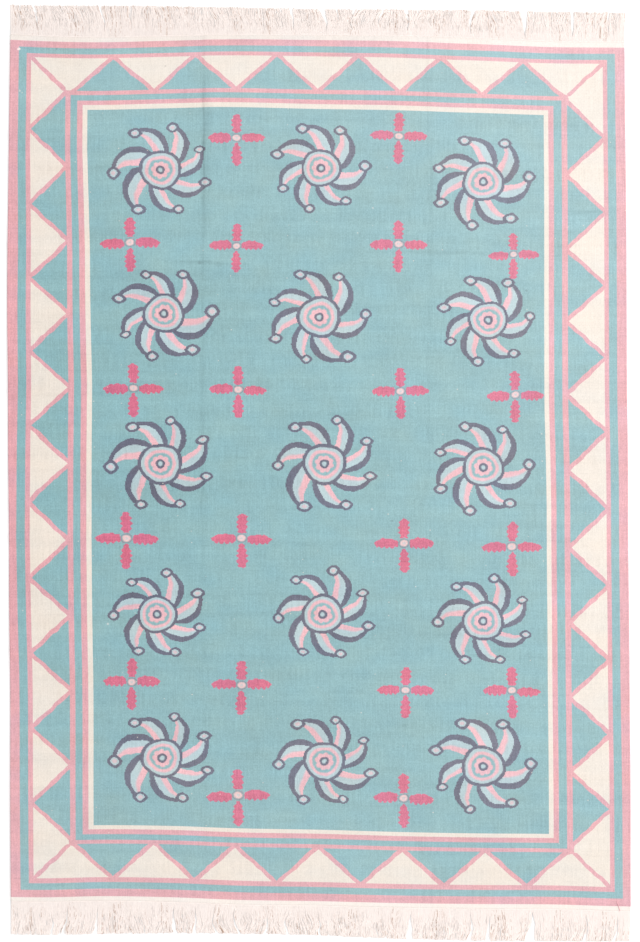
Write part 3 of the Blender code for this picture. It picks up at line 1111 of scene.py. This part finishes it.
def mark_pattern(mesh, plan, place):
    """Store the coordinates that the pattern is drawn in."""
    across, along = plan
    left, right = (stripe_edges(c) for c in (1, 2))
    near, far = (stripe_edges(c) for c in (3, 4))
    numbers = np.arange(len(left), dtype=float)

    def number(distance, edges):
        beyond = numbers[-1] + (distance - edges[-1]) / BEYOND_STRIPE
        inside = np.interp(distance, edges, numbers)
        inside = np.where(distance < 0, distance / BEYOND_STRIPE, inside)
        return np.where(distance > edges[-1], beyond, inside)

    side = np.minimum(number(PLAN_HALF_WIDTH + across, left),
                      number(PLAN_HALF_WIDTH - across, right))
    from_near = along + PLAN_HALF_LENGTH - END_WEB
    from_far = PLAN_HALF_LENGTH - END_WEB - along
    end = np.minimum(number(from_near, near), number(from_far, far))
    blank = np.zeros_like(across)
    write_attribute(mesh, "plan", "POINT", np.stack([across, along, blank], 1))
    write_attribute(mesh, "stripes", "POINT", np.stack([side, end, blank], 1))

    x, y = place[:, 0], place[:, 1]
    rows = {row[0]: row[1:] for row in SAWTOOTH_ROWS}

    def tooth(value, row):
        first, last, count, bulge, shift = rows[row]
        numbers = np.linspace(0, count, 4 * count + 1)
        points = first + (last - first) * numbers / count
        points += 0.001 * shift * hump(numbers - bulge, BULGE_TEETH, BULGE_TEETH)
        way = np.sign(last - first)
        return np.interp(way * value, way * points, numbers)

    end_teeth = np.where(y > 0, tooth(x, "far"), tooth(x, "near"))
    side_teeth = np.where(x < 0, tooth(y, "left"), tooth(y, "right"))
    write_attribute(mesh, "teeth", "POINT", np.stack([end_teeth, side_teeth, blank], 1))

    loops = np.empty(len(mesh.loops), int)
    mesh.loops.foreach_get("vertex_index", loops)
    corners = place[loops].reshape(-1, 4, 3)
    centres = corners.mean(1)
    def seen_from(table):
        """Rows of the nearest motifs, and the corners as seen from their middles."""
        chosen = np.repeat(nearest(centres, table), 4)
        local = place[loops] - np.column_stack([table[chosen, :2], np.zeros(len(loops))])
        local[:, 2] = chosen + 1
        return table[chosen], local

    rows, local = seen_from(
        np.array([(x, y, *ROSETTE_LAYS[lay], size) for x, y, lay, size in ROSETTES]))
    angle = np.arctan2(local[:, 1], local[:, 0])
    reach = np.hypot(local[:, 0], local[:, 1])
    fade = ease((reach - HUB_MIDDLE) / HUB_BLEND)
    swing = np.radians(ROSETTE_LEAN) * np.cos(angle - np.radians(rows[:, 3]))
    straight = angle - np.radians(rows[:, 2]) - fade * swing
    reach = reach / (1 + ROSETTE_STRETCH * np.cos(2 * angle))
    reach = reach / (1 + fade * (0.01 * rows[:, 4] - 1))
    write_attribute(mesh, "rosette", "CORNER", local)
    write_attribute(mesh, "rosette_straight", "CORNER", np.stack(
        [reach * np.cos(straight), reach * np.sin(straight), np.zeros(len(loops))], 1))

    rows, local = seen_from(np.array(CROSSES, float))
    local[:, :2] *= 100 / rows[:, 2:3]
    write_attribute(mesh, "cross", "CORNER", local)


def cloth_grid(sizes):
    """Grid lines of the cloth's mesh across and along the plan."""
    width, length = PLAN_HALF_WIDTH, PLAN_HALF_LENGTH
    across = [-width + d for d in stripe_edges(1)] + [width - d for d in stripe_edges(2)]
    for d in SIDE_LINES:
        across += [-width + d, width - d]
    along = [-length + END_WEB + d for d in stripe_edges(3)]
    along += [length - END_WEB - d for d in stripe_edges(4)]
    for d in END_LINES:
        along += [-length + d, length - d]
    for lines, folds in ((across, FOLDS_ALONG), (along, FOLDS_ACROSS)):
        for row in folds:
            lines += [row[0] - row[1] * s for s in (0.0, 0.25, 0.5, 0.75, 1.0)]
            lines += [row[0] + row[2] * s for s in (0.25, 0.5, 0.75, 1.0)]
    return plan_lines(-width, width, sizes.cell, across), plan_lines(
        -length, length, sizes.cell, along)


def node_middle(node):
    """Middle of a solid's box, seen from above."""
    low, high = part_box(node)
    return 0.5 * (low.x + high.x), 0.5 * (low.y + high.y)


def cloth_shift():
    """How far the drawn outline has to move to lie on the solid."""
    along = np.linspace(-PLAN_HALF_LENGTH, PLAN_HALF_LENGTH, 600)
    across = np.linspace(-PLAN_HALF_WIDTH, PLAN_HALF_WIDTH, 600)
    left, _ = cloth_outline(np.full_like(along, -PLAN_HALF_WIDTH), along)
    right, _ = cloth_outline(np.full_like(along, PLAN_HALF_WIDTH), along)
    _, near = cloth_outline(across, np.full_like(across, -PLAN_HALF_LENGTH))
    _, far = cloth_outline(across, np.full_like(across, PLAN_HALF_LENGTH))
    x, y = node_middle("woven_cloth")
    return x - 0.5 * (left.min() + right.max()), y - 0.5 * (near.min() + far.max())


def end_edge(end):
    """Points along one end of the cloth, in the row frame."""
    across = np.linspace(-PLAN_HALF_WIDTH, PLAN_HALF_WIDTH, 400)
    x, y = cloth_outline(across, np.full_like(across, end * PLAN_HALF_LENGTH))
    shift_x, shift_y = cloth_shift()
    return x + shift_x, y + shift_y


def fringe_lean(across, end):
    """Sideways shift of a yarn's tip: the fringe's lean and its partings."""
    leans, partings = (FAR_LEANS, FAR_PARTINGS) if end > 0 else (NEAR_LEANS, NEAR_PARTINGS)
    table = np.array(leans)
    shift = float(np.interp(across, table[:, 0], table[:, 1]))
    for position, half in partings:
        away = 1000.0 * (across - position) + PARTING_PULL * shift
        shift += math.copysign(half, away) * math.exp(-abs(away) / (PARTING_REACH + half))
    return 0.001 * shift


def geometry_tree(name, inputs):
    """New Geometry Nodes tree with one geometry in and out and named inputs."""
    geometry = ("Geometry", "NodeSocketGeometry")
    return new_tree("GeometryNodeTree", name, (geometry, *inputs), (geometry,))


def named(bench, name, kind="FLOAT"):
    """Read a stored attribute in Geometry Nodes."""
    return bench.use("GeometryNodeInputNamedAttribute", "Attribute", Name=name,
                     settings={"data_type": kind})


def store(bench, geometry, name, value, kind="FLOAT"):
    """Store a point attribute in Geometry Nodes."""
    return bench.use("GeometryNodeStoreNamedAttribute", "Geometry", Geometry=geometry,
                     Name=name, Value=value, settings={"data_type": kind, "domain": "POINT"})


def tubes_out(bench, out, curve, sides, radius, material, scale=None):
    """Round tubes along curves, closed and smooth, given the material and sent out."""
    ring = bench.use("GeometryNodeCurvePrimitiveCircle", "Curve", Resolution=sides,
                     Radius=radius)
    tube = bench.node("GeometryNodeCurveToMesh")
    bench.feed(tube.inputs["Curve"], curve)
    bench.feed(tube.inputs["Profile Curve"], ring)
    if "Scale" in tube.inputs:
        bench.feed(tube.inputs["Scale"], scale)
    bench.feed(tube.inputs["Fill Caps"], True)
    smooth = bench.use("GeometryNodeSetShadeSmooth", 0, Geometry=tube.outputs["Mesh"])
    real = bench.use("GeometryNodeRealizeInstances", 0, smooth)
    finish = bench.use("GeometryNodeSetMaterial", "Geometry", Geometry=real, Material=material)
    bench.feed(out["Geometry"], finish)


def fringe_yarn_tree():
    """Every point of the heading grows one yarn that leans, waves and lies down."""
    bench, given, out = geometry_tree("Fringe yarns", (
        ("Steps", "NodeSocketInt", 9), ("Radius", "NodeSocketFloat", 0.00085),
        ("Sway", "NodeSocketFloat", 0.010), ("Waver", "NodeSocketFloat", 0.0022),
        ("Seed", "NodeSocketInt", 5),
        ("Material", "NodeSocketMaterial", None)))
    place = bench.use("GeometryNodeInputPosition", 0)
    rooted = store(bench, given["Geometry"], "root", place, "FLOAT_VECTOR")
    rooted = store(bench, rooted, "shade", bench.use(
        "FunctionNodeRandomValue", 1, Seed=given["Seed"], settings={"data_type": "FLOAT"}))
    line = bench.use("GeometryNodeCurvePrimitiveLine", "Curve")
    points = bench.use("GeometryNodeResampleCurve", "Curve", Curve=line,
                       Count=given["Steps"] + 1.0)
    placed = bench.use("GeometryNodeInstanceOnPoints", "Instances", Points=rooted,
                       Instance=points)
    real = bench.use("GeometryNodeRealizeInstances", 0, placed)

    t = bench.use("GeometryNodeSplineParameter", "Factor")
    root = named(bench, "root", "FLOAT_VECTOR")
    lean, reach, level, shade = (named(bench, n) for n in ("lean", "reach", "level", "shade"))
    rx, ry, _ = bench.split(root)
    together, _ = bench.noise(bench.join(rx * 17.0, t * 1.3, given["Seed"]), 1.0, 1.0)
    alone, _ = bench.noise(bench.join(shade * 90.0, t * 4.0, given["Seed"]), 1.0, 1.0)
    swing = 0.0
    for curl, size in ((together, given["Sway"]), (alone, given["Waver"])):
        swing = (curl - 0.5).scaled(size * 4.0, swing)
    swing = swing * (t ** 0.7 * named(bench, "loose"))
    bend = lean * t ** 1.5
    x = bend + swing
    y = reach * t
    drop = level - named(bench, "drop") * t
    z = bench.maths("MAXIMUM", drop, given["Radius"])
    moved = bench.use("GeometryNodeSetPosition", "Geometry", Geometry=real,
                      Position=bench.join(rx + x, ry + y, z))
    taper = bench.use("GeometryNodeSetCurveRadius", "Curve", Curve=moved,
                      Radius=t.scaled(-0.12, 1.0))
    marked = store(bench, taper, "strand", bench.join(abs(y), shade, rx), "FLOAT_VECTOR")
    tubes_out(bench, out, marked, 4, given["Radius"], given["Material"],
              bench.use("GeometryNodeInputRadius", 0))


def twined_heading_tree():
    """A two-ply cord twined along the end of the cloth."""
    bench, given, out = geometry_tree("Twined heading", (
        ("Pitch", "NodeSocketFloat", 0.008), ("Ply radius", "NodeSocketFloat", 0.0010),
        ("Offset", "NodeSocketFloat", 0.0008), ("Height", "NodeSocketFloat", 0.0023),
        ("Material", "NodeSocketMaterial", None)))
    curve = bench.use("GeometryNodeMeshToCurve", "Curve", Mesh=given["Geometry"])
    points = bench.use("GeometryNodeResampleCurve", "Curve", Curve=curve,
                       Length=given["Pitch"] / 6.0, settings={"mode": "LENGTH"})
    along = bench.use("GeometryNodeSplineParameter", "Length")
    turn = along / given["Pitch"] * math.tau
    both = bench.node("GeometryNodeJoinGeometry")
    for start in (0.0, math.pi):
        angle = turn + start
        across = bench.maths("COSINE", angle) * given["Offset"]
        upward = bench.maths("SINE", angle).scaled(given["Offset"], given["Height"])
        bench.feed(both.inputs[0], bench.use(
            "GeometryNodeSetPosition", "Geometry", Geometry=points,
            Offset=bench.join(0.0, across, upward)))
    marked = store(bench, both.outputs[0], "strand", bench.join(along, 0.5), "FLOAT_VECTOR")
    tubes_out(bench, out, marked, 5, given["Ply radius"], given["Material"])


def grow(base, tree, **inputs):
    """Run a Geometry Nodes tree on an object and keep its result as a plain mesh."""
    modifier = base.modifiers.new("grow", "NODES")
    modifier.node_group = tree
    for item in tree.interface.items_tree:
        if item.item_type == "SOCKET" and item.in_out == "INPUT":
            value = inputs.get(item.name.replace(" ", "_"))
            if value is not None:
                modifier[item.identifier] = value
    graph = bpy.context.evaluated_depsgraph_get()
    mesh = bpy.data.meshes.new_from_object(base.evaluated_get(graph), depsgraph=graph)
    base.modifiers.remove(modifier)
    base.data = mesh
    return base


def fringe_roots(end, fringe):
    """Root points of the yarns at one end, and what each yarn does from there."""
    rng = random.Random(fringe.seed + end)
    edge_x, edge_y = end_edge(end)
    first, last = edge_x[0] + CORNER_GAP, edge_x[-1] - CORNER_GAP
    roots = []
    values = {"lean": [], "loose": [], "reach": [], "level": [], "drop": []}
    for n in range(fringe.yarns):
        x = first + (last - first) * (n + 0.5) / fringe.yarns
        loose = float(ease(min(x - first, last - x) / CORNER_CALM))
        reach = float(smooth_column(FRINGE_LENGTHS, 2 if end > 0 else 1, x))
        reach *= rng.uniform(*(LONG_LENGTHS if rng.random() > SHORT_YARNS else SHORT_LENGTHS))
        roots.append((x, float(np.interp(x, edge_x, edge_y)) - end * ROOT_DEPTH, 0.0))
        values["lean"].append(fringe_lean(x, end) + loose * rng.gauss(0, UNEVEN_LEAN))
        values["loose"].append(loose)
        values["reach"].append(end * (reach + ROOT_DEPTH))
        values["level"].append(YARN_LEVEL + rng.uniform(-LEVEL_SPREAD, LEVEL_SPREAD))
        values["drop"].append(rng.uniform(0.0, TIP_DROP))
    return roots, values


def join_pieces(first, *others):
    """Join pieces into the first one."""
    for piece in bpy.context.selected_objects:
        piece.select_set(False)
    for piece in (first, *others):
        piece.select_set(True)
    bpy.context.view_layer.objects.active = first
    bpy.ops.object.join()
    return first


def build_fringe(name, end, node, fringe):
    """One fringe: loose yarns and the twined heading cord they hang from."""
    yarn = bpy.data.materials["Far fringe yarn" if end > 0 else "Near fringe yarn"]
    roots, values = fringe_roots(end, fringe)
    yarns = new_piece(name, roots, [])
    for label, column in values.items():
        layer = yarns.data.attributes.new(label, "FLOAT", "POINT")
        layer.data.foreach_set("value", np.array(column, np.float32))
    grow(yarns, bpy.data.node_groups["Fringe yarns"], Steps=fringe.steps,
         Radius=fringe.yarn_radius, Sway=fringe.sway, Seed=fringe.seed + end, Material=yarn)
    edge_x, edge_y = end_edge(end)
    x = np.linspace(edge_x[0] + 0.002, edge_x[-1] - 0.002, 300)
    y = np.interp(x, edge_x, edge_y) + end * 0.25 * fringe.heading
    cord = new_piece(name + "_heading", [(a, b, 0.0) for a, b in zip(x, y)], [],
                     edges=[(n, n + 1) for n in range(len(x) - 1)])
    grow(cord, bpy.data.node_groups["Twined heading"], Material=yarn)
    piece = join_pieces(yarns, cord)
    piece.name = name
    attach(piece, "root")
    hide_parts(node)
    return piece


def tube_along(name, points, radius, material):
    """Closed round tube along a smooth line through some points."""
    curve = bpy.data.curves.new(name, "CURVE")
    curve.dimensions = "3D"
    curve.bevel_depth = radius
    curve.bevel_resolution = 1
    curve.use_fill_caps = True
    curve.resolution_u = 6
    spline = curve.splines.new("NURBS")
    spline.points.add(len(points) - 1)
    for place, point in zip(points, spline.points):
        point.co = (*place, 1.0)
    spline.use_endpoint_u = True
    holder = bpy.data.objects.new(name, curve)
    bpy.context.scene.collection.objects.link(holder)
    graph = bpy.context.evaluated_depsgraph_get()
    mesh = bpy.data.meshes.new_from_object(holder.evaluated_get(graph), depsgraph=graph)
    bpy.data.objects.remove(holder)
    made = bpy.data.objects.new(name, mesh)
    mesh.materials.clear()
    mesh.materials.append(material)
    mesh.shade_smooth()
    bpy.context.scene.collection.objects.link(made)
    return made


class RUG_OT_dyes(bpy.types.Operator):
    """Make the shader groups and the yarn and cloth materials"""

    bl_idname = "rug.dyes"
    bl_label = "Dyes and weave"

    def execute(self, context):
        sizes, colours = context.scene.rug_sizes, context.scene.rug_colours
        for make in (weave_steps_group, border_group, rosette_group, cross_group,
                     dye_streaks_group, painted_light_group, crease_group, spots_group, lint_group,
                     rib_relief_group, fringe_yarn_tree, twined_heading_tree):
            make()
        cloth_material(sizes, colours)
        for name, colour, gain in YARN_GAINS:
            shade = getattr(colours, colour)
            yarn_material(name, [min(1.0, gain * c) for c in shade])
        return {"FINISHED"}


class RUG_OT_cloth(bpy.types.Operator):
    """Weave the cloth: one slab with the pattern on both faces"""

    bl_idname = "rug.cloth"
    bl_label = "Woven cloth"

    def execute(self, context):
        sizes = context.scene.rug_sizes
        columns, rows = cloth_grid(sizes)
        wide, tall = len(columns), len(rows)
        across, along = (grid.ravel() for grid in np.meshgrid(columns, rows))
        x, y = cloth_outline(across, along)
        shift_x, shift_y = cloth_shift()
        top, low = cloth_heights(across, along, sizes)
        upper = np.stack([x + shift_x, y + shift_y, top], 1)
        under = np.stack([x + shift_x, y + shift_y, low], 1)
        place = np.concatenate([upper, under])
        a = (np.arange(tall - 1)[:, None] * wide + np.arange(wide - 1)).ravel()
        count = wide * tall
        faces = [np.stack([a, a + 1, a + 1 + wide, a + wide], 1)]
        faces.append(count + faces[0][:, ::-1])
        i = np.arange(wide - 1)
        j = np.arange(tall - 1) * wide
        last = (tall - 1) * wide + i
        right = j + wide - 1
        faces.append(np.stack([count + i, count + i + 1, i + 1, i], 1))
        faces.append(np.stack([last, last + 1, count + last + 1, count + last], 1))
        faces.append(np.stack([j, j + wide, count + j + wide, count + j], 1))
        faces.append(np.stack([count + right, count + right + wide, right + wide, right], 1))
        piece = new_piece("cloth", place.tolist(), np.concatenate(faces).tolist(),
                          bpy.data.materials["Woven cotton"])
        both = (np.tile(across, 2), np.tile(along, 2))
        mark_pattern(piece.data, both, place)
        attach(piece, "root")
        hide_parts("woven_cloth")
        return {"FINISHED"}


class RUG_OT_fringes(bpy.types.Operator):
    """Grow the loose yarns and the heading cord at both ends"""

    bl_idname = "rug.fringes"
    bl_label = "Fringes"

    def execute(self, context):
        fringe = context.scene.rug_fringes
        near = build_fringe("fringe_near", -1, "fringe_near_end", fringe)
        far = build_fringe("fringe_far", 1, "fringe_far_end", fringe)
        cloth = bpy.data.objects.get("cloth")
        if cloth is None:
            raise RuntimeError("weave the cloth before the fringes")
        loose = tube_along("loose_weft", LOOSE_WEFT, LOOSE_WEFT_RADIUS,
                           bpy.data.materials["Loose weft"])
        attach(loose, "root")
        2 * PLAN_HALF_WIDTH
        2 * PLAN_HALF_LENGTH
        return {"FINISHED"}


class RUG_OT_stage(bpy.types.Operator):
    """Put up the pale floor, the soft light and the camera"""

    bl_idname = "rug.stage"
    bl_label = "Stage"

    def execute(self, context):
        stage = context.scene.rug_stage
        material, _, shader = new_material("Pale floor", 0.9)
        shader["Base Color"].default_value = (*[stage.floor_shade] * 3, 1.0)
        corners = [(x * FLOOR_HALF, y * FLOOR_HALF, -FLOOR_DROP)
                   for x, y in ((-1, -1), (1, -1), (1, 1), (-1, 1))]
        floor = new_piece("floor", corners, [(0, 1, 2, 3)], material)
        floor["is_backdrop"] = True
        world = bpy.data.worlds.new("Soft light")
        world.use_nodes = True
        background = world.node_tree.nodes["Background"]
        background.inputs["Color"].default_value = (1.0, 1.0, 1.0, 1.0)
        background.inputs["Strength"].default_value = stage.sky
        context.scene.world = world
        lamp = bpy.data.lights.new("key", "AREA")
        lamp.shape = "RECTANGLE"
        lamp.size = lamp.size_y = LIGHT_SIDE
        lamp.energy = stage.key_power
        key = bpy.data.objects.new("key", lamp)
        context.scene.collection.objects.link(key)
        key.location = LIGHT_PLACE
        aim = -key.location.normalized()
        key.rotation_euler = aim.to_track_quat("-Z", "Y").to_euler()
        lens = bpy.data.cameras.new("camera")
        lens.lens = stage.lens
        lens.sensor_width = 36.0
        lens.clip_end = 50.0
        camera = bpy.data.objects.new("camera", lens)
        context.scene.collection.objects.link(camera)
        camera.location = (*CAMERA_SHIFT, stage.camera_height)
        context.scene.camera = camera
        context.scene.view_settings.view_transform = "Standard"
        return {"FINISHED"}


class RUG_PT_panel(bpy.types.Panel):
    """Sizes, colours and steps of the rug"""

    bl_idname = "RUG_PT_panel"
    bl_label = "Dhurrie rug"
    bl_space_type = "VIEW_3D"
    bl_region_type = "UI"
    bl_category = "Rug"

    def draw(self, context):
        for step in STEPS:
            self.layout.operator(step.bl_idname)
        for name, group in SETTINGS.items():
            box = self.layout.box()
            settings = getattr(context.scene, name)
            for label in group.__annotations__:
                box.prop(settings, label)


SETTINGS = {
    "rug_sizes": RugSizes,
    "rug_colours": RugColours,
    "rug_fringes": FringeSizes,
    "rug_stage": StageSizes,
}
STEPS = (RUG_OT_dyes, RUG_OT_cloth, RUG_OT_fringes, RUG_OT_stage)


def register():
    for cls in (*SETTINGS.values(), *STEPS, RUG_PT_panel):
        bpy.utils.register_class(cls)
    for name, group in SETTINGS.items():
        setattr(bpy.types.Scene, name, bpy.props.PointerProperty(type=group))


def unregister():
    for name in SETTINGS:
        delattr(bpy.types.Scene, name)
    for cls in reversed((*SETTINGS.values(), *STEPS, RUG_PT_panel)):
        bpy.utils.unregister_class(cls)


def main():
    """Build the rug and its stage, and work out the box of what is shown afterwards."""
    register()
    bpy.ops.rug.dyes()
    bpy.ops.rug.cloth()
    bpy.ops.rug.fringes()
    bpy.ops.rug.stage()
    visual = [list(corner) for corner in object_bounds()]
    {"cad": CAD_BOX, "visual": visual}


if __name__ == "__main__":
    main()
